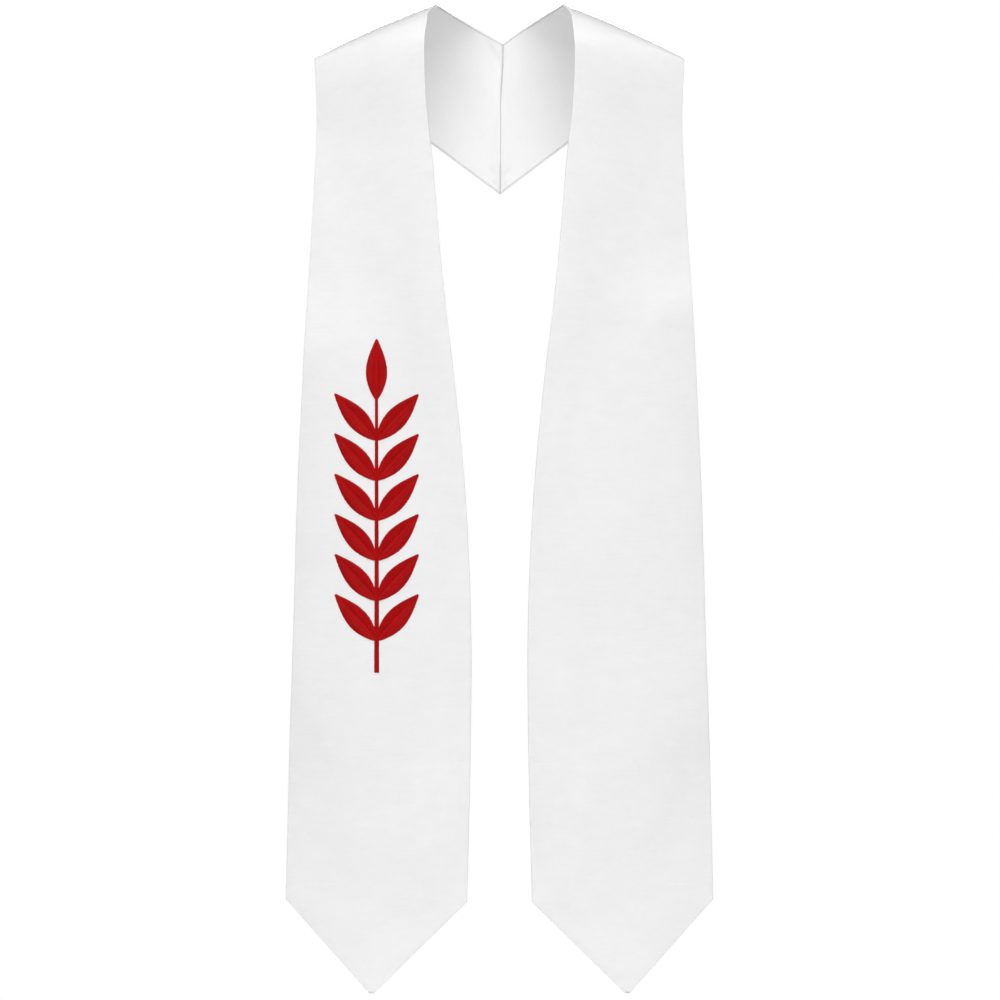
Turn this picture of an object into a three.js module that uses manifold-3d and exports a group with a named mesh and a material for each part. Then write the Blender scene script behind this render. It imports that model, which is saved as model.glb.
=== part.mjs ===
// A graduation stole in the form that it takes on a wearer: two long strips that meet in a seam at the
// centre back, pass over the shoulders and hang down the front to pointed ends. Each strip is a satin
// face with a satin lining behind it, and the wearer's right panel carries an embroidered leaf sprig.
//
// Units are millimetres. +Z is up, the wearer faces -Y and +X is the wearer's left. The origin lies
// midway between the neck ends of the two shoulder ridges, level with the cloth's underside there.

import * as THREE from "three";
import Module from "manifold-3d";

const wasm = await Module();
wasm.setup();

// Cloth
const clothThickness = 1; // of each layer
const layerGap = 0.3; // between the face and its lining, and under the embroidery
const liningSetback = 1; // how far the lining's edge lies inside the face's edge
const seamGap = 0.3; // between the two strips at the centre back

// Shoulder ridge, where each strip turns over the shoulder
const neckHalfWidth = 50; // centre plane to the ridge's neck end
const ridgeWidth = 97; // neck end to arm end, measured level
const shoulderDrop = 43; // arm end below neck end
const neckRoll = 22; // radius of the turn at the neck end
const armRoll = 6; // radius of the turn at the arm end
const rollTurn = THREE.MathUtils.degToRad(65); // how far the turn goes before the front panel's own curve
const ridgeCamber = 2.8; // bulge of the ridge between its ends

// Back yoke, the stretch behind the ridge
const yokeDepth = 76; // ridge to the upper end of the centre back seam
const seamLean = 34; // how much further back the seam's lower end lies
const notchDrop = 31.5; // upper end of the seam below the ridge
const seamHeight = 120; // upper end to lower end
const yokeCamber = 5; // bulge of the yoke halfway to the seam

// Front panel
const frontDrop = 718; // ridge to the corners above the point
const hemWidth = 144.5; // panel at those corners
const hemHalfGap = 26; // centre plane to the panel there
const pointLength = 73; // corners to the tip
const tipWidth = 2; // blunt end of the tip
const centreShare = 0.527; // tip and sprig lie this share of the width from the neck edge
const chestReach = 67; // how far the neck edge comes forward over the chest
const sideReach = 56.5; // how far the arm edge comes forward
const panelCamber = 5; // bulge of the panel between its edges

// Embroidered sprig
const sprigTop = 267; // ridge to the tip of the top leaf
const sprigHeight = 268;
const stemWidth = 4;
const leafPairs = 6;
const leafLength = 51;
const leafWidth = 17;
const leafAngle = THREE.MathUtils.degToRad(42); // between a leaf and the stem
const stitchHeight = 1.1; // top of the stitching above its underside
const stitchRim = 0.5; // the same at its edges

// How finely the cloth and the leaves are divided
const acrossSteps = 8;
const yokeSteps = 12;
const rollSteps = 6;
const fallSteps = 18;
const fallCrowding = 1.4; // above 1 puts more sections near the ridge
const pointSteps = 5;
const leafSteps = 6;
const leafAcross = 4;
const stemSteps = 18;

const stackThickness = 2 * clothThickness + layerGap;

// The front panel from the ridge's turn down to the corners. at: share of that drop. close: 0 at the
// ridge's half gap, 1 at the hem's. flare: 0 at the ridge's width, 1 at the hem's. neckReach, sideReach:
// share of the way forward. skew: arm edge below neck edge, as a share of that at the turn. camber: share
// of panelCamber.
const fallColumns = ["close", "flare", "neckReach", "sideReach", "skew", "camber"];
const fall = [
  { at: 0, close: -0.31, flare: -0.14, neckReach: 0, sideReach: 0, skew: 1, camber: 0.2 },
  { at: 0.039, close: -0.41, flare: -0.2, neckReach: 0.21, sideReach: 0.15, skew: 0.89, camber: 0.4 },
  { at: 0.095, close: -0.39, flare: -0.18, neckReach: 0.4, sideReach: 0.3, skew: 0.71, camber: 0.6 },
  { at: 0.166, close: -0.18, flare: -0.04, neckReach: 0.57, sideReach: 0.46, skew: 0.46, camber: 0.7 },
  { at: 0.266, close: 0.1, flare: 0.16, neckReach: 0.74, sideReach: 0.64, skew: 0.16, camber: 0.6 },
  { at: 0.407, close: 0.59, flare: 0.5, neckReach: 0.9, sideReach: 0.84, skew: 0, camber: 0.6 },
  { at: 0.549, close: 0.97, flare: 0.79, neckReach: 0.98, sideReach: 0.95, skew: 0, camber: 0.8 },
  { at: 0.691, close: 1.14, flare: 0.94, neckReach: 1, sideReach: 1, skew: 0, camber: 1 },
  { at: 0.833, close: 1.12, flare: 1, neckReach: 0.98, sideReach: 0.99, skew: 0, camber: 1 },
  { at: 1, close: 1, flare: 1, neckReach: 0.91, sideReach: 0.95, skew: -0.07, camber: 0.8 },
];

// Smooth curves through the columns of a table whose rows lie in order of "at".
function tableCurves(rows, columns) {
  const places = rows.map((row) => row.at);
  const values = rows.flatMap((row) => columns.map((column) => row[column]));
  const curve = new THREE.CubicInterpolant(places, values, columns.length, new Float32Array(columns.length));
  return (at) => {
    const found = curve.evaluate(at);
    return Object.fromEntries(columns.map((column, k) => [column, found[k]]));
  };
}
const fallAt = tableCurves(fall, fallColumns);

// A section across the left strip: its neck edge, its arm edge and the bulge between them.
const section = (neck, arm, camber) => ({
  neck: new THREE.Vector3(...neck),
  arm: new THREE.Vector3(...arm),
  camber,
});

// Behind the ridge both edges run on quarter ellipses, seen from above, to the centre back. turn is 0 at
// the ridge and a quarter circle at the seam.
function yokeSection(turn) {
  const inward = Math.cos(turn);
  const back = Math.sin(turn);
  const armDrop = shoulderDrop + (notchDrop + seamHeight - shoulderDrop) * (1 - inward);
  return section(
    [neckHalfWidth * inward, yokeDepth * back, stackThickness - notchDrop * (1 - inward)],
    [(neckHalfWidth + ridgeWidth) * inward, (yokeDepth + seamLean) * back, stackThickness - armDrop],
    ridgeCamber * inward ** 2 + yokeCamber * Math.sin(2 * turn),
  );
}

// The turn over the shoulder, wide at the neck end and tight at the arm end.
const rollPoint = (roll, turn) => ({ reach: roll * Math.sin(turn), drop: roll * (1 - Math.cos(turn)) });

function rollSection(turn) {
  const neck = rollPoint(neckRoll, turn);
  const arm = rollPoint(armRoll, turn);
  const eased = Math.sin((Math.PI / 2) * (turn / rollTurn)) ** 2;
  const start = fallAt(0);
  const x = neckHalfWidth + (hemHalfGap - neckHalfWidth) * start.close * eased;
  const width = ridgeWidth + (hemWidth - ridgeWidth) * start.flare * eased;
  return section(
    [x, -neck.reach, stackThickness - neck.drop],
    [x + width, -arm.reach, stackThickness - shoulderDrop - arm.drop],
    ridgeCamber + (panelCamber * start.camber - ridgeCamber) * eased,
  );
}

// The front panel, at a share of the drop from the end of the turn to the corners.
function fallSection(at) {
  const row = fallAt(at);
  const neck = rollPoint(neckRoll, rollTurn);
  const arm = rollPoint(armRoll, rollTurn);
  const drop = neck.drop + (frontDrop - neck.drop) * at;
  const skew = (shoulderDrop + arm.drop - neck.drop) * row.skew;
  const x = neckHalfWidth + (hemHalfGap - neckHalfWidth) * row.close;
  const width = ridgeWidth + (hemWidth - ridgeWidth) * row.flare;
  return section(
    [x, -neck.reach - (chestReach - neck.reach) * row.neckReach, stackThickness - drop],
    [x + width, -arm.reach - (sideReach - arm.reach) * row.sideReach, stackThickness - drop - skew],
    panelCamber * row.camber,
  );
}

// The point below the corners. Its edges run straight to the blunt tip.
function pointSection(share) {
  const corner = fallSection(1);
  const tip = corner.neck.clone().lerp(corner.arm, centreShare);
  tip.z = corner.neck.z - pointLength;
  const towardsTip = (edge, side) => {
    const end = tip.clone();
    end.x += (side * tipWidth) / 2;
    return edge.clone().lerp(end, share);
  };
  return {
    neck: towardsTip(corner.neck, -1),
    arm: towardsTip(corner.arm, 1),
    camber: corner.camber * (1 - share),
  };
}

// Brings a section's edges in by a setback, and its bulge with them.
function inset(cut, setback) {
  const width = cut.neck.distanceTo(cut.arm);
  const share = setback / width;
  return {
    neck: cut.neck.clone().lerp(cut.arm, share),
    arm: cut.arm.clone().lerp(cut.neck, share),
    camber: cut.camber,
  };
}

// All the sections of a strip from the seam to the tip, with the edges set back by a given amount.
function stripSections(setback) {
  const sections = [];
  for (let k = 0; k < yokeSteps; k++) {
    sections.push(inset(yokeSection((Math.PI / 2) * (1 - k / yokeSteps)), setback));
  }
  for (let k = 0; k < rollSteps; k++) {
    sections.push(inset(rollSection((rollTurn * k) / rollSteps), setback));
  }
  for (let k = 0; k <= fallSteps; k++) {
    sections.push(inset(fallSection((k / fallSteps) ** fallCrowding), setback));
  }
  // The point's edges slope, so a setback across them is longer measured level.
  const slope = Math.hypot(pointLength, hemWidth / 2) / pointLength;
  const lastShare = 1 - (2 * setback * slope) / (hemWidth - tipWidth);
  for (let k = 1; k <= pointSteps; k++) {
    sections.push(inset(pointSection((lastShare * k) / pointSteps), setback * slope));
  }
  return sections;
}

// The outer side of the cloth as a grid of points, one row for each section.
function outerGrid(sections) {
  const rows = sections.map((cut) =>
    Array.from({ length: acrossSteps + 1 }, (_, j) => cut.neck.clone().lerp(cut.arm, j / acrossSteps)),
  );
  const normals = gridNormals(rows);
  return rows.map((row, i) =>
    row.map((point, j) => {
      const v = j / acrossSteps;
      return point.addScaledVector(normals[i][j], sections[i].camber * 4 * v * (1 - v));
    }),
  );
}

// Outward normals of a grid, from the neighbours of each point.
function gridNormals(rows) {
  const last = rows.length - 1;
  return rows.map((row, i) =>
    row.map((_, j) => {
      const before = rows[Math.max(i - 1, 0)][j];
      const after = rows[Math.min(i + 1, last)][j];
      const along = after.clone().sub(before);
      const across = row[Math.min(j + 1, row.length - 1)].clone().sub(row[Math.max(j - 1, 0)]);
      return across.cross(along).negate().normalize();
    }),
  );
}

// Moves a grid inwards by a depth. Its first row stays in the plane of the centre back seam.
function sunkGrid(rows, depth) {
  const normals = gridNormals(rows);
  return rows.map((row, i) =>
    row.map((point, j) => {
      const moved = point.clone().addScaledVector(normals[i][j], -depth);
      if (i === 0) moved.x = seamGap / 2;
      return moved;
    }),
  );
}

// A closed geometry between two grids of like size, the first of which faces outwards.
function slab(outer, inner) {
  const rowCount = outer.length;
  const columnCount = outer[0].length;
  const positions = [...outer, ...inner].flat().flatMap((point) => point.toArray());
  const index = [];
  const id = (side, i, j) => (side * rowCount + i) * columnCount + j;
  const quad = (a, b, c, d) => index.push(a, b, c, a, c, d);
  for (let i = 0; i + 1 < rowCount; i++) {
    for (let j = 0; j + 1 < columnCount; j++) {
      quad(id(0, i, j), id(0, i + 1, j), id(0, i + 1, j + 1), id(0, i, j + 1));
      quad(id(1, i, j), id(1, i, j + 1), id(1, i + 1, j + 1), id(1, i + 1, j));
    }
    const end = columnCount - 1;
    quad(id(0, i, 0), id(1, i, 0), id(1, i + 1, 0), id(0, i + 1, 0));
    quad(id(0, i, end), id(0, i + 1, end), id(1, i + 1, end), id(1, i, end));
  }
  for (let j = 0; j + 1 < columnCount; j++) {
    const end = rowCount - 1;
    quad(id(0, 0, j), id(0, 0, j + 1), id(1, 0, j + 1), id(1, 0, j));
    quad(id(0, end, j), id(1, end, j), id(1, end, j + 1), id(0, end, j + 1));
  }
  return new THREE.BufferGeometry()
    .setAttribute("position", new THREE.Float32BufferAttribute(positions, 3))
    .setIndex(index);
}

// One layer of the left strip, from a depth below the cloth's outer side.
function layerGeometry(depth, setback) {
  const grid = outerGrid(stripSections(setback));
  return slab(sunkGrid(grid, depth), sunkGrid(grid, depth + clothThickness));
}

// The point of the front panel's outer side at a level distance from the centre plane and a drop below
// the ridge, raised off the cloth. It serves the stretch where the sections lie level.
function onPanel(x, drop, height) {
  const outerPoint = (px, pdrop) => {
    const rolled = rollPoint(neckRoll, rollTurn).drop;
    const cut = fallSection((pdrop - rolled) / (frontDrop - rolled));
    const v = (px - cut.neck.x) / (cut.arm.x - cut.neck.x);
    const point = cut.neck.clone().lerp(cut.arm, v);
    point.y -= cut.camber * 4 * v * (1 - v);
    return point;
  };
  const point = outerPoint(x, drop);
  const across = outerPoint(x + 1, drop).sub(point);
  const down = outerPoint(x, drop + 1).sub(point);
  return point.addScaledVector(across.cross(down).negate().normalize(), height);
}

// A stitched shape on the panel: a strip of sections, each with a middle, a half width and the level
// direction across it, domed between its rims.
function stitchedSolid(cuts) {
  const grid = (heightAt) =>
    cuts.map((cut) =>
      Array.from({ length: leafAcross + 1 }, (_, j) => {
        const side = (2 * j) / leafAcross - 1;
        const x = cut.x + cut.acrossX * cut.half * side;
        const drop = cut.drop + cut.acrossDrop * cut.half * side;
        return onPanel(x, drop, heightAt(side));
      }),
    );
  const top = grid((side) => layerGap + stitchRim + (stitchHeight - stitchRim) * (1 - side * side));
  const bottom = grid(() => layerGap);
  return solidOf(slab(top, bottom));
}

// A leaf from its base on the stem, leaning out by an angle on one side.
function leafSolid(x, drop, angle) {
  const alongX = Math.sin(angle);
  const alongDrop = -Math.cos(angle);
  const cuts = [];
  for (let k = 0; k <= leafSteps; k++) {
    const share = k / leafSteps;
    const bulge = Math.sin(Math.PI * share ** 0.85);
    cuts.push({
      x: x + alongX * leafLength * share,
      drop: drop + alongDrop * leafLength * share,
      half: Math.max(stemWidth / 8, (leafWidth / 2) * bulge),
      acrossX: alongDrop,
      acrossDrop: -alongX,
    });
  }
  return stitchedSolid(cuts);
}

function stemSolid(x) {
  const top = sprigTop + leafLength / 2;
  const length = sprigHeight - leafLength / 2;
  const cuts = [];
  for (let k = 0; k <= stemSteps; k++) {
    const share = k / stemSteps;
    const half = (stemWidth / 2) * (0.6 + 0.4 * share);
    cuts.push({ x, drop: top + length * (1 - share), half, acrossX: -1, acrossDrop: 0 });
  }
  return stitchedSolid(cuts);
}

// The sprig: a stem with one leaf at its top and pairs of leaves below.
function sprigGeometry() {
  const middle = fallSection((sprigTop + sprigHeight / 2) / frontDrop);
  const x = middle.neck.x + (middle.arm.x - middle.neck.x) * centreShare;
  let sprig = stemSolid(x).add(leafSolid(x, sprigTop + leafLength, 0));
  const firstBase = sprigTop + leafLength;
  const spacing = (sprigHeight - 1.5 * leafLength) / leafPairs;
  for (let pair = 1; pair <= leafPairs; pair++) {
    for (const side of [-1, 1]) {
      sprig = sprig.add(leafSolid(x, firstBase + spacing * pair, side * leafAngle));
    }
  }
  return geometryOf(sprig);
}

// Between three.js geometries and manifold-3d solids.
function solidOf(geometry) {
  return new wasm.Manifold(
    new wasm.Mesh({
      numProp: 3,
      vertProperties: geometry.getAttribute("position").array,
      triVerts: new Uint32Array(geometry.index.array),
    }),
  );
}

function geometryOf(solid) {
  const mesh = solid.getMesh();
  return new THREE.BufferGeometry()
    .setAttribute("position", new THREE.Float32BufferAttribute(mesh.vertProperties, 3))
    .setIndex(new THREE.BufferAttribute(mesh.triVerts, 1));
}

const satin = new THREE.MeshStandardMaterial({ color: 0xf2f2f2, roughness: 0.45, metalness: 0 });
const liningSatin = new THREE.MeshStandardMaterial({ color: 0xeeeeee, roughness: 0.5, metalness: 0 });
const redThread = new THREE.MeshStandardMaterial({ color: 0xa11316, roughness: 0.5, metalness: 0 });

function piece(name, geometry, material) {
  geometry.computeVertexNormals();
  const mesh = new THREE.Mesh(geometry, material);
  mesh.name = name;
  return mesh;
}

const faceGeometry = layerGeometry(0, 0);
const liningGeometry = layerGeometry(clothThickness + layerGap, liningSetback);

const leftStrip = new THREE.Group();
leftStrip.add(piece("left_face", faceGeometry, satin), piece("left_lining", liningGeometry, liningSatin));

// The right strip is the left one mirrored, with the sprig on its front panel.
const rightStrip = new THREE.Group();
rightStrip.scale.x = -1;
rightStrip.add(
  piece("right_face", faceGeometry, satin),
  piece("right_lining", liningGeometry, liningSatin),
  piece("embroidered_sprig", sprigGeometry(), redThread),
);

const stole = new THREE.Group();
stole.add(leftStrip, rightStrip);

export default stole;
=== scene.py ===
# A graduation stole in the form that it takes on a wearer: two satin strips joined at the centre back,
# turned over the shoulders and hanging down the front to points, with a red leaf sprig embroidered on
# the wearer's right panel. Lengths are in metres. +Z is up, the wearer faces -Y, +X is the wearer's left.

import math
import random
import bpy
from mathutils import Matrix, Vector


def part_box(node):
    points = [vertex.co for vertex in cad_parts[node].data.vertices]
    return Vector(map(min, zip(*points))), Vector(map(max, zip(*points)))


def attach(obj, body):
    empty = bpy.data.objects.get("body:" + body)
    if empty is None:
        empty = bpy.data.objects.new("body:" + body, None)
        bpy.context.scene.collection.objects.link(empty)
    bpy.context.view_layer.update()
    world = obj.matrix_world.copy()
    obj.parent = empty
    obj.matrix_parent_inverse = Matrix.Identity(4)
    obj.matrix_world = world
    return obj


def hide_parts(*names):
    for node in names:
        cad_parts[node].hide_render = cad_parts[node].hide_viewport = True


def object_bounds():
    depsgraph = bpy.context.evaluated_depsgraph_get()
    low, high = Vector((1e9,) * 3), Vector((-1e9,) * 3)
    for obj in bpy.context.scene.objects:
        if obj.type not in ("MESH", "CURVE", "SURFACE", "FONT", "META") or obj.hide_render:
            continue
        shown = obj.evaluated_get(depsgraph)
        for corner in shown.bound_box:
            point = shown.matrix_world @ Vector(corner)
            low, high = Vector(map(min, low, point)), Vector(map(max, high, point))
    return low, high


bl_info = {
    "name": "Graduation stole",
    "version": (1, 0, 0),
    "blender": (4, 5, 0),
    "location": "View3D > Sidebar > Stole",
    "description": "Builds the satin strips, the embroidery and the studio stage of a graduation stole",
    "category": "Add Mesh",
}

from collections import namedtuple

import bmesh
import bpy
from bpy.props import FloatProperty, FloatVectorProperty, IntProperty, PointerProperty
from bpy.types import Operator, Panel, PropertyGroup
from mathutils import Vector, noise

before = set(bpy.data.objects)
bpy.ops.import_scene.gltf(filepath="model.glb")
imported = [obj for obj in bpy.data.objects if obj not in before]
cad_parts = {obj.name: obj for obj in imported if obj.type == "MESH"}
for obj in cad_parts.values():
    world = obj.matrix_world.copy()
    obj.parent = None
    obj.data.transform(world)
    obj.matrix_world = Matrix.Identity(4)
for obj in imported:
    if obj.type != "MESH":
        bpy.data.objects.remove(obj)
cad_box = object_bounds()

LEFT, RIGHT = 1, -1
SIDE_NAMES = {LEFT: "left", RIGHT: "right"}

# The front panel from the end of the turn over the shoulder down to the corners. at: share of that drop.
# close: 0 at the ridge's half gap, 1 at the hem's. flare: 0 at the ridge's width, 1 at the hem's.
# neck_reach, side_reach: share of the way forward. skew: arm edge below neck edge, as a share of that at
# the turn. camber: share of the panel's camber.
FallRow = namedtuple("FallRow", "at close flare neck_reach side_reach skew camber")
FALL = (
    FallRow(0, -0.31, -0.14, 0, 0, 1, 0.2),
    FallRow(0.039, -0.41, -0.2, 0.21, 0.15, 0.89, 0.4),
    FallRow(0.095, -0.39, -0.18, 0.4, 0.3, 0.71, 0.6),
    FallRow(0.166, -0.18, -0.04, 0.57, 0.46, 0.46, 0.7),
    FallRow(0.266, 0.1, 0.16, 0.74, 0.64, 0.16, 0.6),
    FallRow(0.407, 0.59, 0.5, 0.9, 0.84, 0, 0.6),
    FallRow(0.549, 0.97, 0.79, 0.98, 0.95, 0, 0.8),
    FallRow(0.691, 1.14, 0.94, 1, 1, 0, 1),
    FallRow(0.833, 1.12, 1, 0.98, 0.99, 0, 1),
    FallRow(1, 1, 1, 0.91, 0.95, -0.07, 0.8),
)

# Soft swells of the front panels, where the cloth bends over the front of the shoulder, hollows below
# it, goes over the chest and settles. drop: below the ridge, at the neck edge. slant: how much lower the
# swell lies at the arm edge. across: share of the width from the neck edge. height: out of the cloth.
# above, below, sideways: how far each one reaches.
Swell = namedtuple("Swell", "side drop slant across height above below sideways")
PANEL_SWELLS = (
    Swell(LEFT, 0.024, 0.017, 0.15, 0.0030, 0.022, 0.026, 0.140),
    Swell(LEFT, 0.025, 0.017, 0.15, 0.0008, 0.010, 0.010, 0.140),
    Swell(LEFT, 0.118, 0, 0.20, -0.0076, 0.060, 0.150, 0.130),
    Swell(LEFT, 0.260, 0, 0.90, 0.0080, 0.044, 0.150, 0.075),
    Swell(LEFT, 0.256, 0, 0.06, 0.0050, 0.120, 0.044, 0.032),
    Swell(LEFT, 0.540, 0, 1.00, 0.0044, 0.200, 0.240, 0.075),
    Swell(LEFT, 0.560, 0, 0.14, 0.0014, 0.050, 0.050, 0.030),
    Swell(LEFT, 0.580, 0, 0.86, 0.0012, 0.060, 0.030, 0.030),
    Swell(LEFT, 0.640, 0, 0.50, 0.0016, 0.060, 0.060, 0.040),
    Swell(RIGHT, 0.024, 0.017, 0.15, 0.0030, 0.022, 0.026, 0.140),
    Swell(RIGHT, 0.025, 0.017, 0.15, 0.0008, 0.010, 0.010, 0.140),
    Swell(RIGHT, 0.118, 0, 0.20, -0.0076, 0.060, 0.150, 0.130),
    Swell(RIGHT, 0.288, 0, 0.92, 0.0070, 0.050, 0.150, 0.065),
    Swell(RIGHT, 0.268, 0, 0.06, 0.0054, 0.120, 0.054, 0.032),
    Swell(RIGHT, 0.540, 0, 1.00, 0.0044, 0.200, 0.240, 0.075),
    Swell(RIGHT, 0.570, 0, 0.84, 0.0015, 0.050, 0.034, 0.030),
    Swell(RIGHT, 0.650, 0, 0.40, 0.0016, 0.070, 0.060, 0.040),
)

# Dimples beside the centre back seam, as seen from inside the neck. up: above the seam's lower end.
# out: from the seam. depth: into the cloth from inside. size: across each one.
Dimple = namedtuple("Dimple", "side up out depth size")
SEAM_DIMPLES = (
    Dimple(LEFT, 0.0150, 0.0058, 0.0003, 0.0032),
    Dimple(RIGHT, 0.0155, 0.0060, 0.0003, 0.0034),
    Dimple(LEFT, 0.0060, 0.0040, 0.0002, 0.0026),
    Dimple(RIGHT, 0.0060, 0.0046, 0.0002, 0.0026),
    Dimple(RIGHT, 0.1080, 0.0070, 0.0004, 0.0060),
)

# Painted shade: how much darker the cloth's colour is made in the seam and in a dimple, where shade falls.
PAINTED_SEAM_SHADE = 0.14
PAINTED_DIMPLE_SHADE = 0.07

# Width over which the lining's edge and the face's lap dive at their join.
TUCK_REACH = 0.0003

# The satin's weave: the length of a float, and the distance to the next one beside it.
FLOAT_LENGTH = 0.0016
FLOAT_PITCH = 0.00034

# The lights, all turned to the middle of the stole. size: width and height. power: in watts.
Softbox = namedtuple("Softbox", "name place size power")
SOFTBOXES = (
    Softbox("front_softbox", (0.0, -3.0, -0.3), (2.8, 1.2), 29),
    Softbox("high_softbox", (0.0, -1.9, 1.98), (2.8, 1.1), 71),
    Softbox("left_softbox", (2.4, -1.4, 0.9), (0.8, 1.4), 10),
    Softbox("right_softbox", (-2.4, -1.4, 0.9), (0.8, 1.4), 10),
    Softbox("back_softbox", (0.0, 2.93, 0.27), (2.4, 1.4), 78),
)


def length(name, description, default):
    return FloatProperty(
        name=name, description=description, default=default, precision=5, subtype="DISTANCE", unit="LENGTH"
    )


def share(name, description, default):
    return FloatProperty(name=name, description=description, default=default, min=0, max=1, subtype="FACTOR")


def angle(name, description, degrees):
    return FloatProperty(
        name=name,
        description=description,
        default=math.radians(degrees),
        precision=4,
        subtype="ANGLE",
        unit="ROTATION",
    )


def colour(name, description, default):
    return FloatVectorProperty(
        name=name, description=description, default=default, size=3, min=0, max=1, subtype="COLOR"
    )


class StripSizes(PropertyGroup):
    """The worn form of each strip."""

    neck_half_width: length("Neck half width", "Centre plane to the ridge's neck end", 0.050)
    ridge_width: length("Ridge width", "Neck end to arm end of the ridge, measured level", 0.097)
    shoulder_drop: length("Shoulder drop", "Arm end of the ridge below its neck end", 0.043)
    neck_roll: length("Neck roll", "Radius of the turn at the neck end", 0.022)
    arm_roll: length("Arm roll", "Radius of the turn at the arm end", 0.006)
    roll_turn: angle("Roll turn", "How far the turn goes before the panel's own curve", 65)
    ridge_camber: length("Ridge camber", "Bulge of the ridge between its ends", 0.0018)
    yoke_depth: length("Yoke depth", "Ridge to the upper end of the seam", 0.076)
    seam_lean: length("Seam lean", "How much further back the seam's lower end lies", 0.034)
    notch_drop: length("Notch drop", "Upper end of the seam below the ridge", 0.0315)
    seam_height: length("Seam height", "Upper end to lower end of the seam", 0.120)
    yoke_camber: length("Yoke camber", "Bulge of the yoke halfway to the seam", 0.005)
    front_drop: length("Front drop", "Ridge to the corners above the point", 0.718)
    hem_width: length("Hem width", "Panel width at the corners", 0.1445)
    hem_half_gap: length("Hem half gap", "Centre plane to the panel at the corners", 0.026)
    point_length: length("Point length", "Corners to the tip", 0.073)
    tip_width: length("Tip width", "Width of the cloth at the very tip", 0.0034)
    centre_share: share("Centre share", "Place of the tip and sprig across the width", 0.527)
    chest_reach: length("Chest reach", "How far the neck edge comes forward", 0.067)
    side_reach: length("Side reach", "How far the arm edge comes forward", 0.0565)
    panel_camber: length("Panel camber", "Bulge of the panel between its edges", 0.0035)


class ClothSizes(PropertyGroup):
    """The make of the cloth: its thickness, turned edges, puckers and unevenness."""

    stack: length("Stack", "Outer side of the ridge above the seat", 0.0023)
    thickness: length("Thickness", "Face, lining and the space between them", 0.0015)
    edge_round: length("Edge round", "How far the turned edge reaches out as it rounds over", 0.0003)
    seam_round: length("Seam round", "How far each strip rounds down into the centre back seam", 0.0011)
    wall: length("Wall", "Thickness of one layer of satin", 0.00025)
    lap: length("Lap", "How far the face turns in behind the edge", 0.0014)
    setback: length("Lining setback", "Edge of the face to the edge of the lining", 0.0015)
    tuck: length("Tuck", "How deep the lining's edge and the face's lap dive at their join", 0.0002)
    swell: length("Swell", "Height of the cloth's slow unevenness", 0.0011)
    ripple: length("Ripple", "Height of its finer unevenness", 0.00038)
    edge_pucker: length("Edge pucker", "Height of the puckers along the sewn edges", 0.00022)
    seam_pucker: length("Seam pucker", "Height of the puckers along the centre back seam", 0.0004)
    wander: length("Seam wander", "How far the seam's upper end strays to the wearer's left", 0.0028)
    step: length("Step", "Distance between the rows of the mesh", 0.0022)


class SprigSizes(PropertyGroup):
    """The embroidered sprig."""

    top: length("Top", "Ridge to the tip of the top leaf", 0.267)
    height: length("Height", "Tip of the top leaf to the foot of the stem", 0.268)
    stem_width: length("Stem width", "Width of the stem's stitches at its foot", 0.004)
    leaf_pairs: IntProperty(
        name="Leaf pairs", description="Pairs of leaves below the top leaf", default=6, min=1
    )
    leaf_length: length("Leaf length", "Foot to tip of a leaf", 0.051)
    leaf_width: length("Leaf width", "Widest part of a leaf", 0.017)
    leaf_angle: angle("Leaf angle", "Angle between a leaf and the stem", 42)
    pitch: length("Stitch pitch", "Distance between neighbouring stitches", 0.00062)
    thread: length("Thread", "Thickness of the thread as it lies", 0.00072)
    padding: length("Padding", "Height of the stitching in the middle of half a leaf", 0.0008)
    stray: length("Stray", "How far the ends of the stitches stray", 0.00014)


class StoleColours(PropertyGroup):
    """Colours, in linear light."""

    satin: colour("Satin", "White satin of the face", (0.82, 0.82, 0.822))
    # Whiter than the face: partly the lining's own white, partly painted light that brightens the inside of
    # the yoke.
    lining: colour("Lining", "White satin of the lining", (0.96, 0.96, 0.962))
    thread: colour("Thread", "Red embroidery thread", (0.37, 0.002, 0.003))
    floor: colour("Floor", "Pale studio floor", (0.88, 0.88, 0.88))


class StageSizes(PropertyGroup):
    """The camera, floor and lights."""

    view_width: length("View width", "Width of the picture at the stole", 0.8)
    view_height: length("View height", "Middle of the picture below the ridge", 0.3972)
    view_right: length("View right", "Middle of the picture right of the centre plane", 0.0004)
    camera_distance: length("Camera distance", "Camera to the ridge, for an almost parallel view", 30.0)
    floor_gap: length("Floor gap", "Tips of the stole to the floor", 0.065)
    floor_radius: length("Floor radius", "Where the floor has faded out", 1.5)
    fade_from: length("Fade from", "Where the floor starts to fade out", 0.45)
    fill: share("Fill", "Strength of the even light from all sides", 0.06)


def hermite(places, values, at):
    """A smooth curve through values at rising places, with mean slopes where two stretches meet."""
    last = len(places) - 1
    slopes = [(values[k + 1] - values[k]) / (places[k + 1] - places[k]) for k in range(last)]
    i = max(k for k in range(last) if k == 0 or places[k] <= at)
    start = (slopes[max(i - 1, 0)] + slopes[i]) / 2
    end = (slopes[i] + slopes[min(i + 1, last - 1)]) / 2
    gap = places[i + 1] - places[i]
    t = (at - places[i]) / gap
    rise = values[i + 1] - values[i]
    return (
        values[i]
        + gap * start * (t - 2 * t * t + t**3)
        + rise * (3 * t * t - 2 * t**3)
        + gap * end * (t**3 - t * t)
    )


def fall_at(at):
    """The row of the fall table at any share of the drop."""
    places, *columns = zip(*FALL)
    return FallRow(at, *(hermite(places, column, at) for column in columns))


def ease(x):
    """0 below 0, 1 above 1, and a smooth rise between."""
    x = min(max(x, 0), 1)
    return x * x * (3 - 2 * x)


def mix(a, b, t):
    return a + (b - a) * t


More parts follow.
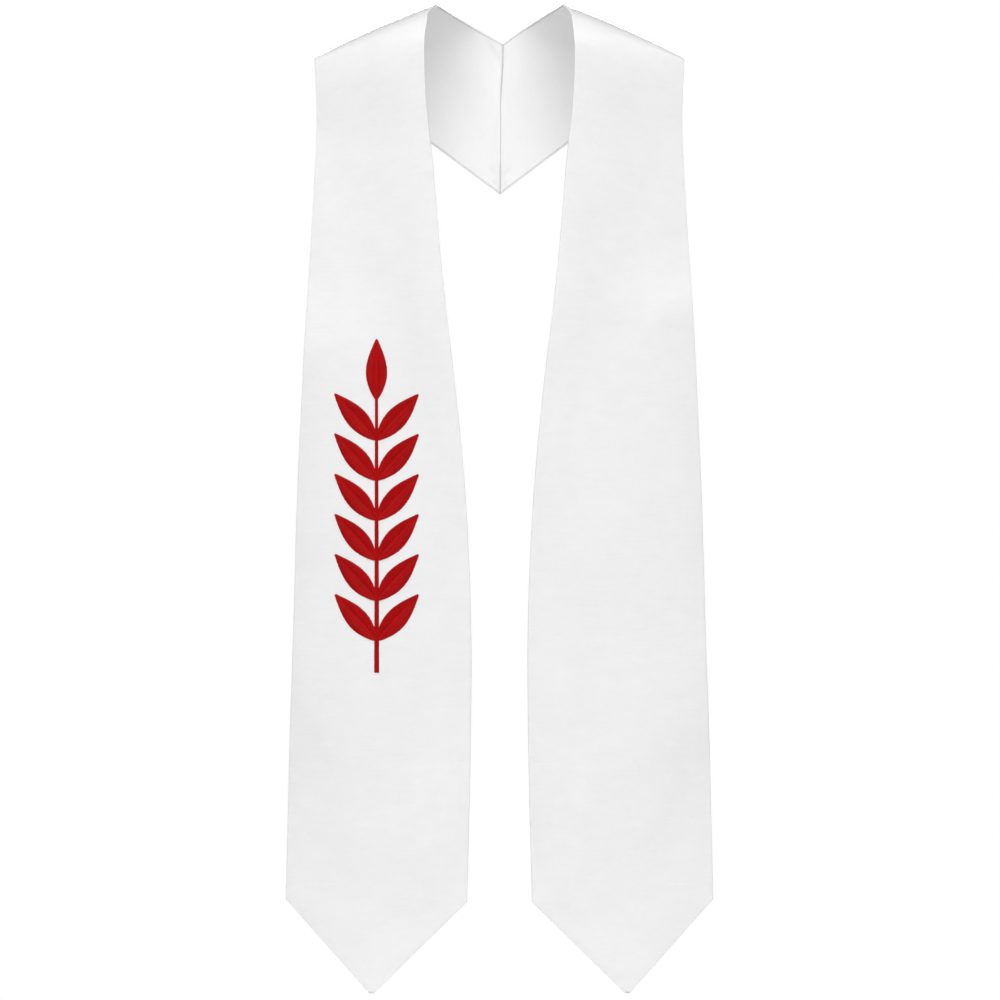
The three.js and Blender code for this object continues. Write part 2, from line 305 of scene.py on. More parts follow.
class Row:
    """One section across the left strip, from its neck edge to its arm edge."""

    def __init__(self, neck, arm, camber, back=0.0, stretch=1.0):
        self.neck = Vector(neck)
        self.arm = Vector(arm)
        self.camber = camber
        self.back = back  # 1 at the centre back seam, 0 from the ridge on
        self.crest = math.exp(-((self.neck.y / 0.02) ** 2))  # 1 at the ridge, fading on both sides of it
        self.stretch = stretch  # length of a sloping edge for each unit across it
        self.width = (self.arm - self.neck).length
        self.along = 0.0
        self.neck_run = None
        self.arm_run = None


def roll_point(roll, turn):
    """How far a turn of a given radius has come forward and down."""
    return roll * math.sin(turn), roll * (1 - math.cos(turn))


def yoke_row(form, stack, turn):
    """Behind the ridge both edges run on quarter ellipses, seen from above, to the centre back."""
    inward, back = math.cos(turn), math.sin(turn)
    arm_drop = mix(form.notch_drop + form.seam_height, form.shoulder_drop, inward)
    return Row(
        (form.neck_half_width * inward, form.yoke_depth * back, stack - form.notch_drop * (1 - inward)),
        (
            (form.neck_half_width + form.ridge_width) * inward,
            (form.yoke_depth + form.seam_lean) * back,
            stack - arm_drop,
        ),
        form.ridge_camber * inward**2 + form.yoke_camber * math.sin(2 * turn),
        back=1 - inward,
    )


def roll_row(form, stack, turn):
    """The turn over the shoulder, wide at the neck end and tight at the arm end."""
    neck_reach, neck_drop = roll_point(form.neck_roll, turn)
    arm_reach, arm_drop = roll_point(form.arm_roll, turn)
    eased = math.sin(math.pi / 2 * turn / form.roll_turn) ** 2
    x = form.neck_half_width + (form.hem_half_gap - form.neck_half_width) * FALL[0].close * eased
    width = form.ridge_width + (form.hem_width - form.ridge_width) * FALL[0].flare * eased
    return Row(
        (x, -neck_reach, stack - neck_drop),
        (x + width, -arm_reach, stack - form.shoulder_drop - arm_drop),
        mix(form.ridge_camber, form.panel_camber * FALL[0].camber, eased),
    )


def fall_row(form, stack, at):
    """The front panel, at a share of the drop from the end of the turn to the corners."""
    row = fall_at(at)
    neck_reach, neck_drop = roll_point(form.neck_roll, form.roll_turn)
    arm_reach, arm_drop = roll_point(form.arm_roll, form.roll_turn)
    drop = mix(neck_drop, form.front_drop, at)
    skew = (form.shoulder_drop + arm_drop - neck_drop) * row.skew
    x = mix(form.neck_half_width, form.hem_half_gap, row.close)
    width = mix(form.ridge_width, form.hem_width, row.flare)
    return Row(
        (x, -mix(neck_reach, form.chest_reach, row.neck_reach), stack - drop),
        (x + width, -mix(arm_reach, form.side_reach, row.side_reach), stack - drop - skew),
        form.panel_camber * row.camber,
    )


def point_row(form, stack, at):
    """The point below the corners, whose edges run straight to the tip."""
    corner = fall_row(form, stack, 1)
    tip = corner.neck.lerp(corner.arm, form.centre_share)
    tip.z = corner.neck.z - form.point_length
    half = Vector((form.tip_width / 2, 0, 0))
    slope = math.hypot(form.point_length, form.hem_width / 2) / form.point_length
    return Row(
        corner.neck.lerp(tip - half, at),
        corner.arm.lerp(tip + half, at),
        corner.camber * (1 - at),
        stretch=mix(1, slope, min(1, at * 12)),
    )


def strip_rows(form, cloth):
    """All the sections of the left strip at about equal steps, from the seam to the tip."""
    stack = cloth.stack
    # Degrees from the seam, closer together near it, and where the even steps begin.
    seam_turns = [0, 0.12, 0.26, 0.42, 0.6, 0.8, 1.05, 1.35, 1.75, 2.25]
    even_from = 2.8
    rows = [yoke_row(form, stack, math.radians(90 - turn)) for turn in seam_turns]
    # Each stage's sections, their distance as a share of the step, and whether the last one is made.
    stages = (
        (lambda t: yoke_row(form, stack, math.radians(90 - mix(even_from, 90, t))), 1.0, False),
        (lambda t: roll_row(form, stack, form.roll_turn * t), 0.5, False),
        (lambda t: fall_row(form, stack, t), 1.0, False),
        (lambda t: point_row(form, stack, t), 1.0, True),
    )
    for make, fineness, closed in stages:
        probes = [make(k / 12) for k in range(13)]
        middles = [probe.neck.lerp(probe.arm, 0.5) for probe in probes]
        distance = sum((b - a).length for a, b in zip(middles, middles[1:]))
        count = round(distance / (cloth.step * fineness))
        rows += [make(k / count) for k in range(count + int(closed))]
    for before, row in zip(rows, rows[1:]):
        middle = row.neck.lerp(row.arm, 0.5)
        row.along = before.along + (middle - before.neck.lerp(before.arm, 0.5)).length
    for i, row in enumerate(rows):
        before, after = rows[max(i - 1, 0)], rows[min(i + 1, len(rows) - 1)]
        row.neck_run = after.neck - before.neck
        row.arm_run = after.arm - before.arm
    return rows


def relief(cloth, side, row, across, v):
    """How far the cloth stands out from its plain form. across is the distance from the neck edge."""
    from_seam = row.along
    # The lengths that places are divided by are wave lengths. The last number picks each strip's noise.
    height = cloth.swell * noise.noise(Vector((across / 0.06, row.along / 0.12, 3.3 * side)))
    height += cloth.ripple * noise.noise(Vector((across / 0.020, row.along / 0.034, 7.7 * side)))
    height *= ease(from_seam / 0.03) * (1 - 0.8 * row.crest)
    edge = min(across, row.width - across)
    along_edge = Vector((row.along / 0.0085, 5.1 * side, 9.0 if v > 0.5 else 2.0))
    height += cloth.edge_pucker * math.exp(-edge / 0.006) * noise.noise(along_edge) * ease(from_seam / 0.02)
    if row.back > 0.5:
        beside = row.neck.lerp(row.arm, v)
        puckers = noise.noise(Vector((across / 0.009, beside.x / 0.02, 4.0)))
        height += cloth.seam_pucker * math.exp(-beside.x / 0.008) * ease(beside.x / 0.002) * puckers
        for dimple in SEAM_DIMPLES:
            if dimple.side == side:
                up = row.width - across
                distance = math.hypot(up - dimple.up, beside.x - dimple.out) / dimple.size
                height += dimple.depth * math.exp(-distance * distance)
    if row.back == 0:
        drop = cloth.stack - row.neck.lerp(row.arm, v).z
        for swell in PANEL_SWELLS:
            if swell.side == side:
                down = drop - swell.drop - swell.slant * v
                down /= swell.below if down > 0 else swell.above
                sideways = (across - swell.across * row.width) / swell.sideways
                reach = math.exp(-down * down - sideways * sideways)
                height += swell.height * reach * (1 - row.crest)
    return height


def seam_shift(cloth, row, point):
    """How far the centre back seam strays sideways from the centre plane, less and less away from it."""
    if row.back == 0:
        return 0.0
    drop = cloth.stack - point.z
    stray = cloth.wander * (1 - 0.7 * ease((drop - 0.040) / 0.040) - 0.12 * ease((drop - 0.115) / 0.035))
    return stray * row.back**2 * math.exp(-abs(point.x) / 0.025)


def cloth_point(cloth, side, row, v, depth, lift=0.0):
    """A point of the cloth and its outward normal, at a depth below the outer side."""
    run = row.neck_run.lerp(row.arm_run, v)
    normal = run.cross(row.arm - row.neck).normalized()
    bulge = row.camber * 4 * v * (1 - v) + relief(cloth, side, row, v * row.width, v)
    point = row.neck.lerp(row.arm, v) + normal * (bulge + lift - depth)
    point.x = side * point.x + seam_shift(cloth, row, point)
    normal.x *= side
    return point, normal


def seam_dive(cloth, row, v):
    """How deep the cloth rounds down into the centre back seam."""
    reach = 1 - row.neck.lerp(row.arm, v).x / cloth.seam_round
    if row.back == 0 or reach <= 0:
        return 0.0
    deepest = cloth.thickness / 2 - cloth.wall - 0.0001
    return deepest * (1 - math.sqrt(max(1 - reach * reach, 0)))


def painted_crease_shade(side, row, across):
    """Painted shade: how much the cloth's colour is darkened in the centre back seam and the dimples beside
    it, where shade falls.
    """
    if row.back < 0.5:
        return 0.0
    beside = row.neck.lerp(row.arm, across / row.width).x
    up = row.width - across
    open_ends = ease((up - 0.070) / 0.025) + ease((0.030 - up) / 0.012)
    shade = PAINTED_SEAM_SHADE * open_ends * math.exp(-((beside / 0.001) ** 2))
    for dimple in SEAM_DIMPLES:
        if dimple.side == side:
            distance = math.hypot(up - dimple.up, beside - dimple.out) / dimple.size
            shade += PAINTED_DIMPLE_SHADE * math.exp(-2 * distance * distance)
    return shade


def edge_scale(cloth, row):
    """How much wider than its depth a turned edge is, on sloping edges and at the narrow tip."""
    return min(row.stretch, 0.97 * row.width / 2 / cloth.lap)


def face_columns(cloth):
    """The face's cross section: a lap behind each edge, a round turn and the flat between them."""
    turns = 8
    side_columns = [
        (cloth.lap, cloth.thickness - cloth.tuck),
        (cloth.lap - TUCK_REACH / 2, cloth.thickness - cloth.tuck / 3),
        (cloth.lap - TUCK_REACH, cloth.thickness),
    ]
    for k in range(turns + 1):
        turn = math.pi * k / turns
        depth = cloth.thickness / 2 * (1 + math.cos(turn))
        side_columns.append((cloth.edge_round * (1 - math.sin(turn)), depth))
    return side_columns, cloth.edge_round


def lining_columns(cloth):
    """The lining's cross section: an edge tucked in beside the face's lap, and the flat between."""
    side_columns = [
        (cloth.setback, cloth.thickness - cloth.tuck),
        (cloth.setback + TUCK_REACH / 2, cloth.thickness - cloth.tuck / 3),
        (cloth.setback + TUCK_REACH, cloth.thickness),
    ]
    return side_columns, cloth.setback + TUCK_REACH


def spread(count, crowding):
    """Shares from 0 to 1, closer together near both ends, without the ends themselves."""
    shares = [k / count for k in range(1, count)]
    return [t - crowding * math.sin(2 * math.pi * t) / (2 * math.pi) for t in shares]


def layer_mesh(name, cloth, side, rows, columns, flat_from, flat_shares, flat_depth):
    """One layer of a strip as a fine grid laid along its sections, with its size in the UV map."""
    edge_count = len(columns)
    column_count = 2 * edge_count + len(flat_shares)
    bm = bmesh.new()
    bmesh.ops.create_grid(bm, x_segments=column_count - 1, y_segments=len(rows) - 1, size=1)
    uv_layer = bm.loops.layers.uv.new("cloth")
    # A point attribute that carries painted shade for the seam and the dimples into the material.
    painted_shade_layer = bm.verts.layers.float.new("painted_crease_shade")
    flat_places = {}
    expected = {}
    for vert in bm.verts:
        j = round((vert.co.x + 1) / 2 * (column_count - 1))
        i = round((vert.co.y + 1) / 2 * (len(rows) - 1))
        row = rows[i]
        scale = edge_scale(cloth, row)
        if j < edge_count:
            inset, depth = columns[j]
            across = inset * scale
        elif j >= column_count - edge_count:
            inset, depth = columns[column_count - 1 - j]
            across = row.width - inset * scale
        else:
            depth = flat_depth
            flat_start = flat_from * scale
            across = mix(flat_start, row.width - flat_start, flat_shares[j - edge_count])
        dive = seam_dive(cloth, row, across / row.width)
        middle = cloth.thickness / 2
        depth += dive * (1 - depth / middle)
        point, normal = cloth_point(cloth, side, row, across / row.width, depth)
        vert.co = point
        vert[painted_shade_layer] = painted_crease_shade(side, row, across)
        flat_places[vert] = (across, row.along)
        expected[vert] = normal if depth < middle else -normal
    for face in bm.faces:
        for loop in face.loops:
            loop[uv_layer].uv = flat_places[loop.vert]
    bm.normal_update()
    smooth_spot = (0.06, 0.45)
    probe = min(bm.verts, key=lambda vert: math.dist(flat_places[vert], smooth_spot))
    if probe.normal.dot(expected[probe]) < 0:
        bmesh.ops.reverse_faces(bm, faces=bm.faces)
    for face in bm.faces:
        face.smooth = True
    mesh = bpy.data.meshes.new(name)
    bm.to_mesh(mesh)
    bm.free()
    return mesh


def add_object(name, mesh, material):
    mesh.materials.append(material)
    piece = bpy.data.objects.new(name, mesh)
    bpy.context.scene.collection.objects.link(piece)
    return piece


def give_wall(piece, thickness):
    """Gives a sheet a wall on its hidden side."""
    solidify = piece.modifiers.new("wall", "SOLIDIFY")
    solidify.thickness = thickness
    solidify.offset = -1
    solidify.use_even_offset = True


def panel_spot(rows, x, drop, stack):
    """The row, and the share across it, at a distance from the centre plane and a drop below the ridge."""
    level = [row for row in rows if row.back == 0 and row.stretch == 1]
    after = next(k for k, row in enumerate(level) if stack - row.neck.z >= drop)
    low, high = level[after - 1], level[after]
    t = (drop - (stack - low.neck.z)) / (low.neck.z - high.neck.z)
    row = Row(low.neck.lerp(high.neck, t), low.arm.lerp(high.arm, t), mix(low.camber, high.camber, t))
    row.along = mix(low.along, high.along, t)
    row.neck_run = low.neck_run.lerp(high.neck_run, t)
    row.arm_run = low.arm_run.lerp(high.arm_run, t)
    return row, (x - row.neck.x) / (row.arm.x - row.neck.x)


class Shades:
    """A short way to write node trees."""

    def __init__(self, name):
        self.material = bpy.data.materials.new(name)
        self.material.use_nodes = True
        self.tree = self.material.node_tree
        self.tree.nodes.clear()
        self.output = self.tree.nodes.new("ShaderNodeOutputMaterial")
        self.shader = self.tree.nodes.new("ShaderNodeBsdfPrincipled")
        self.tree.links.new(self.shader.outputs["BSDF"], self.output.inputs["Surface"])

    def node(self, kind, **settings):
        made = self.tree.nodes.new("ShaderNode" + kind)
        for key, value in settings.items():
            setattr(made, key, value)
        return made

    def put(self, socket, value):
        if isinstance(value, bpy.types.NodeSocket):
            self.tree.links.new(value, socket)
        else:
            socket.default_value = value

    def maths(self, operation, *values):
        made = self.node("Math", operation=operation)
        for socket, value in zip(made.inputs, values):
            self.put(socket, value)
        return made.outputs[0]

    def stretched(self, vector, scale):
        made = self.node("Mapping")
        self.put(made.inputs["Vector"], vector)
        made.inputs["Scale"].default_value = scale
        return made.outputs[0]

    def noise(self, vector, scale, detail=2.0, roughness=0.5):
        made = self.node("TexNoise")
        self.put(made.inputs["Vector"], vector)
        made.inputs["Scale"].default_value = scale
        made.inputs["Detail"].default_value = detail
        made.inputs["Roughness"].default_value = roughness
        return made.outputs["Fac"]

    def ranged(self, value, low, high, to_low, to_high):
        made = self.node("MapRange")
        for key, number in (("From Min", low), ("From Max", high), ("To Min", to_low), ("To Max", to_high)):
            made.inputs[key].default_value = number
        self.put(made.inputs["Value"], value)
        return made.outputs[0]

    def scaled_colour(self, rgb, factor):
        made = self.node("Mix", data_type="RGBA", blend_type="MULTIPLY")
        made.inputs["Factor"].default_value = 1
        made.inputs["A"].default_value = (*rgb, 1)
        combine = self.node("CombineColor")
        for key in ("Red", "Green", "Blue"):
            self.put(combine.inputs[key], factor)
        self.put(made.inputs["B"], combine.outputs[0])
        return made.outputs["Result"]

    def bump(self, height, distance, strength=1.0, under=None):
        made = self.node("Bump")
        made.inputs["Distance"].default_value = distance
        made.inputs["Strength"].default_value = strength
        self.put(made.inputs["Height"], height)
        if under is not None:
            self.put(made.inputs["Normal"], under)
        return made.outputs[0]


def satin_material(name, rgb, roughness):
    """Bridal satin: long floats along the strip, slubs, soft unevenness, a sheen along the threads and
    painted shade in the seam.
    """
    shades = Shades(name)
    flat = shades.node("UVMap", uv_map="cloth").outputs[0]
    weave = shades.node("TexBrick", offset=0.4, offset_frequency=2, squash=1.0, squash_frequency=2)
    turned = shades.node("Mapping")
    shades.put(turned.inputs["Vector"], flat)
    turned.inputs["Rotation"].default_value = (0, 0, math.pi / 2)
    turned.inputs["Scale"].default_value = (1 / FLOAT_LENGTH, 1 / FLOAT_PITCH, 1)
    shades.put(weave.inputs["Vector"], turned.outputs[0])
    weave.inputs["Color1"].default_value = (0.72, 0.72, 0.72, 1)
    weave.inputs["Color2"].default_value = (1, 1, 1, 1)
    weave.inputs["Mortar"].default_value = (0, 0, 0, 1)
    weave.inputs["Scale"].default_value = 1
    weave.inputs["Mortar Size"].default_value = 0.12
    weave.inputs["Mortar Smooth"].default_value = 0.8
    weave.inputs["Brick Width"].default_value = 1
    weave.inputs["Row Height"].default_value = 1
    slubs = shades.noise(shades.stretched(flat, (30, 800, 1)), 1, detail=3)
    mottle = shades.noise(shades.stretched(flat, (60, 90, 1)), 1, detail=4, roughness=0.6)
    clouds = shades.noise(shades.stretched(flat, (14, 10, 1)), 1, detail=2)
    grain = shades.noise(shades.stretched(flat, (220, 300, 1)), 1, detail=3, roughness=0.6)
    tone = shades.ranged(slubs, 0.25, 0.75, 0.985, 1.01)
    tone = shades.maths("MULTIPLY", tone, shades.ranged(mottle, 0.3, 0.7, 0.985, 1.01))
    tone = shades.maths("MULTIPLY", tone, shades.ranged(clouds, 0.3, 0.7, 0.985, 1.01))
    tone = shades.maths("MULTIPLY", tone, shades.ranged(grain, 0.3, 0.7, 0.99, 1.01))
    # Painted shade: the base colour is darkened where the seam and the dimples lie.
    painted_shade_amount = shades.node("Attribute", attribute_name="painted_crease_shade").outputs["Fac"]
    tone = shades.maths("MULTIPLY", tone, shades.maths("SUBTRACT", 1, painted_shade_amount))
    shades.put(shades.shader.inputs["Base Color"], shades.scaled_colour(rgb, tone))
    rough = shades.maths("ADD", shades.ranged(slubs, 0.3, 0.7, -0.01, 0.02), roughness)
    rough = shades.maths("ADD", rough, shades.ranged(mottle, 0.3, 0.7, -0.02, 0.03))
    shades.put(shades.shader.inputs["Roughness"], rough)
    bump = shades.bump(grain, 0.00012, 0.5)
    bump = shades.bump(slubs, 0.000025, 0.5, bump)
    bump = shades.bump(weave.outputs["Color"], 0.00004, 0.6, bump)
    shades.put(shades.shader.inputs["Normal"], bump)
    tangent = shades.node("Tangent", direction_type="UV_MAP", uv_map="cloth")
    shades.put(shades.shader.inputs["Tangent"], tangent.outputs[0])
    shades.shader.inputs["Anisotropic"].default_value = 0.6
    shades.shader.inputs["Specular IOR Level"].default_value = 0.5
    shades.shader.inputs["Sheen Weight"].default_value = 0.08
    shades.shader.inputs["Sheen Roughness"].default_value = 0.4
    return shades.material


def thread_material(rgb):
    """Shiny embroidery thread that varies a little in tone from stitch to stitch."""
    shades = Shades("red_thread")
    place = shades.node("TexCoord").outputs["Object"]
    broad = shades.noise(place, 90, detail=2)
    stitches = shades.noise(place, 900, detail=1)
    fibres = shades.noise(place, 5200, detail=2)
    tone = shades.maths(
        "MULTIPLY", shades.ranged(broad, 0.3, 0.7, 0.9, 1.08), shades.ranged(stitches, 0.3, 0.7, 0.86, 1.12)
    )
    shades.put(shades.shader.inputs["Base Color"], shades.scaled_colour(rgb, tone))
    shades.put(shades.shader.inputs["Roughness"], shades.ranged(stitches, 0.3, 0.7, 0.34, 0.48))
    shades.put(shades.shader.inputs["Normal"], shades.bump(fibres, 0.00006, 0.5))
    shades.shader.inputs["Specular IOR Level"].default_value = 0.4
    shades.shader.inputs["Specular Tint"].default_value = (1, 0.16, 0.15, 1)
    return shades.material


def check_place(piece, node):
    """Stops if a piece has left the place of the node that it replaces."""
    allowed = 0.006
    low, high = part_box(node)
    bpy.context.view_layer.update()
    corners = [Vector(corner) for corner in piece.bound_box]
    for k, axis in enumerate("XYZ"):
        off = max(abs(min(c[k] for c in corners) - low[k]), abs(max(c[k] for c in corners) - high[k]))
        if off > allowed:
            raise RuntimeError(f"{piece.name} is {off * 1000:.1f} mm off {node} along {axis}")


class STOLE_OT_faces(Operator):
    """Build the outer satin of both strips, with its turned edges"""

    bl_idname = "stole.faces"
    bl_label = "Satin faces"

    def execute(self, context):
        scene = context.scene
        cloth = scene.stole_cloth
        rows = strip_rows(scene.stole_strip, cloth)
        columns, flat_from = face_columns(cloth)
        shares = spread(count=56, crowding=0.6)
        material = satin_material("satin_face", scene.stole_colours.satin, roughness=0.31)
        for side, side_name in SIDE_NAMES.items():
            name = side_name + "_satin"
            mesh = layer_mesh(name, cloth, side, rows, columns, flat_from, shares, flat_depth=0.0)
            piece = add_object(name, mesh, material)
            give_wall(piece, cloth.wall)
            node = side_name + "_face"
            check_place(piece, node)
            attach(piece, "root")
            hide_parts(node)
        return {"FINISHED"}


class STOLE_OT_linings(Operator):
    """Build the satin lining of both strips, tucked in behind the turned edges"""

    bl_idname = "stole.linings"
    bl_label = "Satin linings"

    def execute(self, context):
        scene = context.scene
        cloth = scene.stole_cloth
        rows = [row for row in strip_rows(scene.stole_strip, cloth) if row.width > 4 * cloth.setback]
        columns, flat_from = lining_columns(cloth)
        shares = spread(count=44, crowding=0.5)
        # The lining's colour is partly painted light: whiter than the face, so the inside of the yoke looks
        # brighter.
        material = satin_material("satin_lining", scene.stole_colours.lining, roughness=0.45)
        for side, side_name in SIDE_NAMES.items():
            name = side_name + "_lining_satin"
            mesh = layer_mesh(name, cloth, side, rows, columns, flat_from, shares, cloth.thickness)
            piece = add_object(name, mesh, material)
            give_wall(piece, cloth.wall)
            node = side_name + "_lining"
            check_place(piece, node)
            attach(piece, "root")
            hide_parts(node)
        return {"FINISHED"}


def panel_point(cloth, rows, x, drop, lift):
    """A point on the wearer's right panel, raised off the satin, and the normal there."""
    row, v = panel_spot(rows, x, drop, cloth.stack)
    return cloth_point(cloth, RIGHT, row, v, 0.0, lift)


def leaf_half(sprig, at):
    """Half the width of a leaf at a share of its length."""
    return sprig.leaf_width / 2 * math.sin(math.pi * min(max(at, 0), 1) ** 0.85)


def add_stitch(bm, start, end, normal, lifts, thread):
    """One stitch: a thread, round on top and open below, that rises, lies over the padding and dives back."""
    facets = 5
    run = end - start
    sideways = normal.cross(run).normalized()
    made = bmesh.ops.create_grid(bm, x_segments=facets, y_segments=len(lifts) - 1, size=1)["verts"]
    rings = [[None] * (facets + 1) for _ in lifts]
    for vert in made:
        j = round((vert.co.x + 1) / 2 * facets)
        i = round((vert.co.y + 1) / 2 * (len(lifts) - 1))
        rings[i][j] = vert
    for i, ring in enumerate(rings):
        t = i / (len(lifts) - 1)
        half = thread / 2 * (0.55 if i in (0, len(lifts) - 1) else 1)
        for j, vert in enumerate(ring):
            turn = math.radians(mix(205, -25, j / facets))
            out = sideways * (math.cos(turn) * half) + normal * (math.sin(turn) * half * 0.8 + lifts[i])
            vert.co = start + run * t + out


def leaf_stitches(bm, cloth, rows, sprig, chance, foot, lean):
    """A satin stitched leaf: two rows of slanting stitches that meet along its middle."""
    foot_x, foot_drop = foot
    down_x, down_drop = math.sin(lean), -math.cos(lean)
    count = round(sprig.leaf_length / sprig.pitch)
    slant = 0.13

    def place(at, off, lift=0.0):
        x = foot_x + down_x * sprig.leaf_length * at + down_drop * off
        drop = foot_drop + down_drop * sprig.leaf_length * at - down_x * off
        return panel_point(cloth, rows, x, drop, lift)

    for half_side in (-1, 1):
        for k in range(count):
            inner_at = mix(-0.05, 0.90, k / (count - 1))
            outer_at = mix(0.02, 1.0, k / (count - 1))
            outer_at = min(outer_at + slant * (1 - k / (count - 1)) * 0.4, 1)
            half = leaf_half(sprig, outer_at)
            if half < sprig.thread:
                continue
            stray = chance.uniform(-1, 1) * sprig.stray
            start, _ = place(max(inner_at, 0), half_side * sprig.thread * 0.25)
            end, normal = place(outer_at, half_side * (half + stray))
            if (end - start).length < 2 * sprig.thread:
                continue
            fullness = min(1, half / (sprig.leaf_width / 2) + 0.25)
            lifts = [sprig.padding * fullness * part for part in (0.15, 0.8, 1.0, 0.7, -0.1)]
            add_stitch(bm, start, end, normal, lifts, sprig.thread)
    return place


def add_padding(bm, place, half_at, steps, lift, ends):
    """The low red ground under the stitches, so that no satin shows between them."""
    made = bmesh.ops.create_grid(bm, x_segments=8, y_segments=steps, size=1)["verts"]
    for vert in made:
        off, at = vert.co.x, mix(*ends, (vert.co.y + 1) / 2)
        point, _ = place(at, off * half_at(at) * 0.97, lift * (1 - off * off) + 0.00005)
        vert.co = point


class STOLE_OT_sprig(Operator):
    """Embroider the leaf sprig on the wearer's right panel, stitch by stitch"""

    bl_idname = "stole.sprig"
    bl_label = "Embroidered sprig"

    def execute(self, context):
        scene = context.scene
        form, cloth, sprig = scene.stole_strip, scene.stole_cloth, scene.stole_sprig
        rows = strip_rows(form, cloth)
        chance = random.Random(4183)
        middle, _ = panel_spot(rows, 0, sprig.top + sprig.height / 2, cloth.stack)
        stem_x = mix(middle.neck.x, middle.arm.x, form.centre_share)
        first_foot = sprig.top + sprig.leaf_length
        spacing = (sprig.height - 1.5 * sprig.leaf_length) / sprig.leaf_pairs
        leaves = [(first_foot, 0.0)]
        for pair in range(1, sprig.leaf_pairs + 1):
            leaves += [(first_foot + spacing * pair, lean * sprig.leaf_angle) for lean in (-1, 1)]

        bm = bmesh.new()
        foot = sprig.top + sprig.height
        stem_top = sprig.top + sprig.leaf_length * 0.9
        stem_length = foot - stem_top

        def stem_place(at, off, lift=0.0):
            return panel_point(cloth, rows, stem_x + off, foot - stem_length * at, lift)

        def stem_half(at):
            return sprig.stem_width / 2 * (1 - 0.4 * at)

        add_padding(bm, stem_place, stem_half, 60, sprig.padding * 0.5, (0.0, 1.0))
        count = round(stem_length / sprig.pitch)
        for k in range(count):
            at = k / (count - 1)
            half = stem_half(at) + chance.uniform(-1, 1) * sprig.stray
            slope = 0.0012 / stem_length
            start, _ = stem_place(max(at - slope, 0), -half)
            end, normal = stem_place(min(at + slope, 1), half)
            lifts = [sprig.padding * part for part in (-0.1, 0.5, 0.62, 0.5, -0.1)]
            add_stitch(bm, start, end, normal, lifts, sprig.thread)
        for leaf_foot, lean in leaves:
            place = leaf_stitches(bm, cloth, rows, sprig, chance, (stem_x, leaf_foot), lean)
            add_padding(bm, place, lambda at: leaf_half(sprig, at), 14, sprig.padding * 0.6, (0.02, 0.97))
        bm.normal_update()
        mesh = bpy.data.meshes.new("stitched_sprig")
        for face in bm.faces:
            face.smooth = True
        bm.to_mesh(mesh)
        bm.free()
        piece = add_object("stitched_sprig", mesh, thread_material(scene.stole_colours.thread))
        check_place(piece, "embroidered_sprig")
        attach(piece, "root")
        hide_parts("embroidered_sprig")
        return {"FINISHED"}


def area_light(name, place, size, power):
    """A softbox turned to the middle of the stole."""
    light = bpy.data.lights.new(name, "AREA")
    light.shape = "RECTANGLE"
    light.size, light.size_y = size
    light.energy = power
    lamp = bpy.data.objects.new(name, light)
    bpy.context.scene.collection.objects.link(lamp)
    lamp.location = place
    aim = Vector((0, 0, -0.35))
    lamp.rotation_euler = (aim - lamp.location).to_track_quat("-Z", "Y").to_euler()


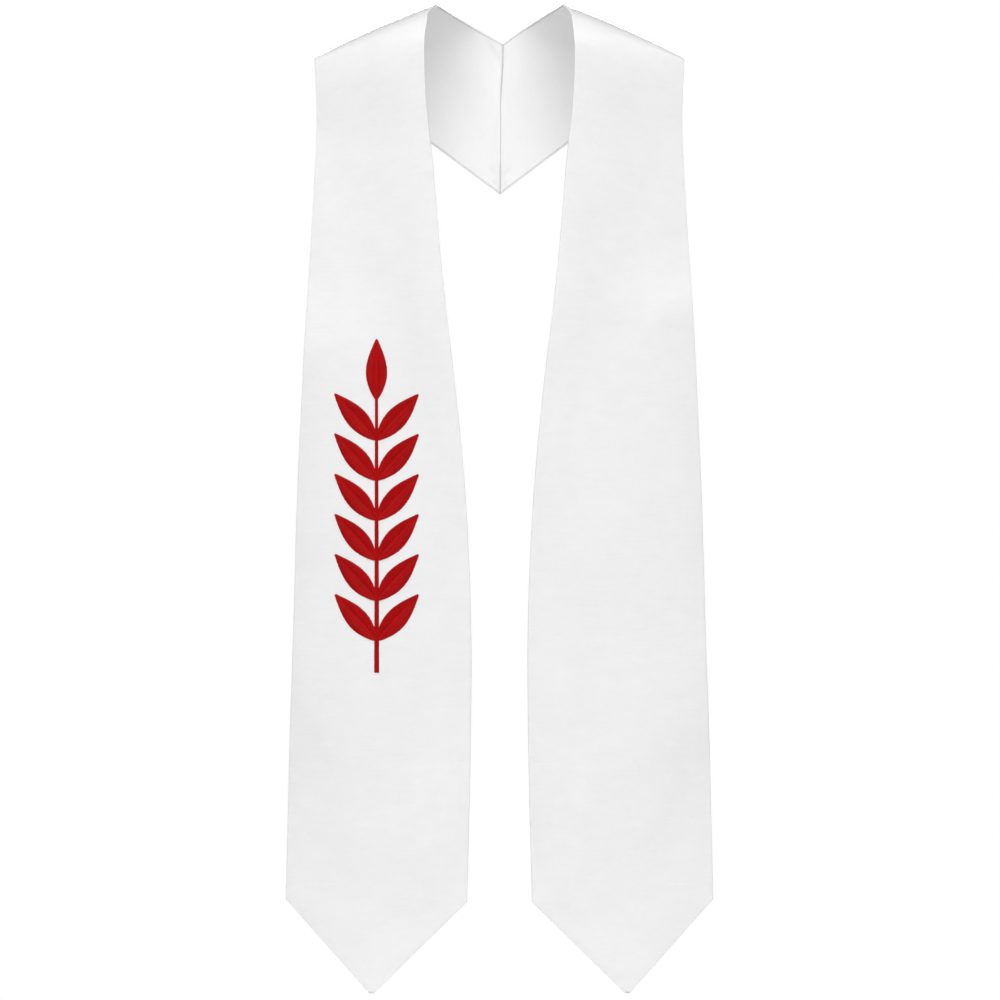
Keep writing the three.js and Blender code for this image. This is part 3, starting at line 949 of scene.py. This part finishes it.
class STOLE_OT_stage(Operator):
    """Set up the camera, the pale floor, the lights and the white background"""

    bl_idname = "stole.stage"
    bl_label = "Studio stage"

    def execute(self, context):
        scene = context.scene
        stage = scene.stole_stage
        centre = Vector((stage.view_right, 0, scene.stole_cloth.stack - stage.view_height))

        camera = bpy.data.cameras.new("camera")
        camera.sensor_width = 36
        camera.lens = camera.sensor_width * stage.camera_distance / stage.view_width
        camera.clip_start, camera.clip_end = 1, 2 * stage.camera_distance
        eye = bpy.data.objects.new("camera", camera)
        scene.collection.objects.link(eye)
        eye.location = centre + Vector((0, -stage.camera_distance, 0))
        eye.rotation_euler = (math.pi / 2, 0, 0)
        scene.camera = eye
        scene.view_settings.view_transform = "Standard"

        bm = bmesh.new()
        bmesh.ops.create_circle(bm, cap_ends=True, radius=stage.floor_radius, segments=64)
        floor_height = cad_box[0][2] - stage.floor_gap
        bmesh.ops.translate(bm, verts=bm.verts, vec=(0, 0, floor_height))
        mesh = bpy.data.meshes.new("floor")
        bm.to_mesh(mesh)
        bm.free()
        shades = Shades("pale_floor")
        place = shades.node("TexCoord").outputs["Object"]
        away = shades.node("VectorMath", operation="LENGTH")
        shades.put(away.inputs[0], shades.stretched(place, (1, 1, 0)))
        fade = shades.node("MapRange", interpolation_type="SMOOTHSTEP")
        shades.put(fade.inputs["Value"], away.outputs["Value"])
        fade.inputs["From Min"].default_value = stage.fade_from
        fade.inputs["From Max"].default_value = stage.floor_radius
        tone = shades.ranged(shades.noise(place, 6), 0.3, 0.7, 0.98, 1.02)
        rgb = scene.stole_colours.floor
        shades.put(shades.shader.inputs["Base Color"], shades.scaled_colour(rgb, tone))
        shades.shader.inputs["Roughness"].default_value = 0.8
        clear = shades.node("BsdfTransparent")
        blend = shades.node("MixShader")
        shades.put(blend.inputs[0], fade.outputs[0])
        shades.put(blend.inputs[1], shades.shader.outputs[0])
        shades.put(blend.inputs[2], clear.outputs[0])
        shades.put(shades.output.inputs["Surface"], blend.outputs[0])
        add_object("floor", mesh, shades.material)

        world = bpy.data.worlds.new("studio")
        world.use_nodes = True
        tree = world.node_tree
        tree.nodes.clear()
        output = tree.nodes.new("ShaderNodeOutputWorld")
        seen = tree.nodes.new("ShaderNodeBackground")
        seen.inputs["Color"].default_value = (1, 1, 1, 1)
        seen.inputs["Strength"].default_value = 1
        lit = tree.nodes.new("ShaderNodeBackground")
        lit.inputs["Color"].default_value = (1, 1, 1, 1)
        lit.inputs["Strength"].default_value = stage.fill
        path = tree.nodes.new("ShaderNodeLightPath")
        blend = tree.nodes.new("ShaderNodeMixShader")
        tree.links.new(path.outputs["Is Camera Ray"], blend.inputs[0])
        tree.links.new(lit.outputs[0], blend.inputs[1])
        tree.links.new(seen.outputs[0], blend.inputs[2])
        tree.links.new(blend.outputs[0], output.inputs["Surface"])
        scene.world = world

        for softbox in SOFTBOXES:
            area_light(*softbox)
        return {"FINISHED"}


class STOLE_PT_panel(Panel):
    """Lists the steps that build the stole"""

    bl_idname = "STOLE_PT_panel"
    bl_label = "Graduation stole"
    bl_space_type = "VIEW_3D"
    bl_region_type = "UI"
    bl_category = "Stole"

    def draw(self, context):
        for operator in OPERATORS:
            self.layout.operator(operator.bl_idname)
        for name in GROUPS:
            group = getattr(context.scene, name)
            box = self.layout.box()
            box.label(text=group.bl_rna.description)
            for key in group.bl_rna.properties.keys():
                if key not in ("rna_type", "name"):
                    box.prop(group, key)


GROUPS = {
    "stole_strip": StripSizes,
    "stole_cloth": ClothSizes,
    "stole_sprig": SprigSizes,
    "stole_colours": StoleColours,
    "stole_stage": StageSizes,
}
OPERATORS = (STOLE_OT_stage, STOLE_OT_faces, STOLE_OT_linings, STOLE_OT_sprig)


def register():
    for group in GROUPS.values():
        bpy.utils.register_class(group)
    for name, group in GROUPS.items():
        setattr(bpy.types.Scene, name, PointerProperty(type=group))
    for operator in OPERATORS:
        bpy.utils.register_class(operator)
    bpy.utils.register_class(STOLE_PT_panel)


def unregister():
    bpy.utils.unregister_class(STOLE_PT_panel)
    for operator in reversed(OPERATORS):
        bpy.utils.unregister_class(operator)
    for name in GROUPS:
        delattr(bpy.types.Scene, name)
    for group in reversed(list(GROUPS.values())):
        bpy.utils.unregister_class(group)


def main():
    register()
    bpy.ops.stole.stage()
    bpy.ops.stole.faces()
    bpy.ops.stole.linings()
    bpy.ops.stole.sprig()


if __name__ == "__main__":
    main()
